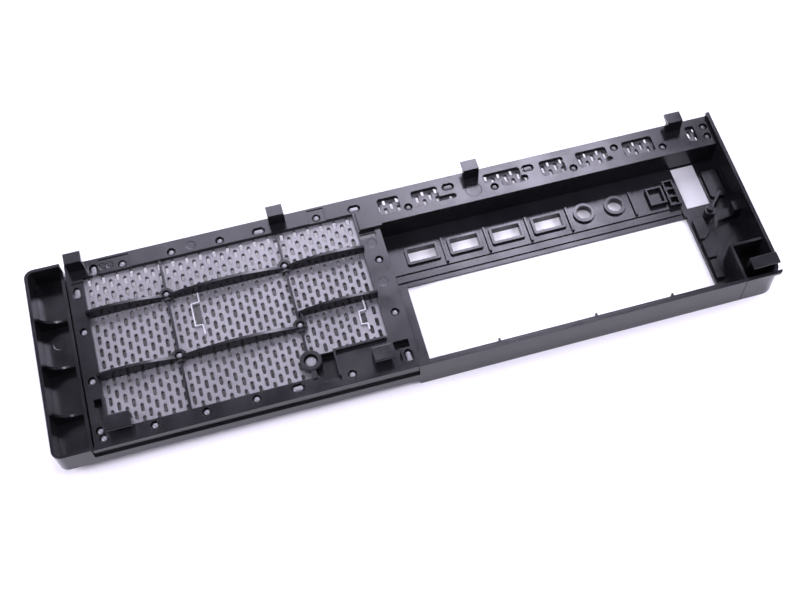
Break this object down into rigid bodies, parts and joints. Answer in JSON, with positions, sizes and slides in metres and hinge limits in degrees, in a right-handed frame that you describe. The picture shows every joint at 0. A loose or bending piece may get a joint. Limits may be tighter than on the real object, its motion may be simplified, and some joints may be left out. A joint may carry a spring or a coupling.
{
  "type": "desktop computer front bezel",
  "caption": "Moulded desktop computer front bezel, seen from its back: perforated air grille, drive opening, port openings, clips and a sprung power button.",
  "frame": {"origin": "centre of the bounding box at its lowest level, which is the front face of the raised drive section", "axes": "+X along the bezel towards the drive section, +Y towards the edge with the clips, +Z from the front towards the chassis"},
  "size_m": [0.36, 0.1044, 0.025],
  "materials": {
    "frame_plastic": "fine moulded satin grey plastic",
    "grille_silver": "silver painted plastic",
    "button_plastic": "dark moulded plastic",
    "label_paper": "matt coated paper"
  },
  "bodies": {
    "bezel": {"bezel_frame": "frame_plastic", "grille": "grille_silver", "paper_label": "label_paper"},
    "button": {"power_button": "button_plastic"}
  },
  "joints": [
    {"name": "power_button_press", "type": "slide", "parent": "bezel", "child": "button", "axis": [0, 0, 1], "range_m": [0, 0.0015], "stiffness_N_per_m": 400}
  ]
}
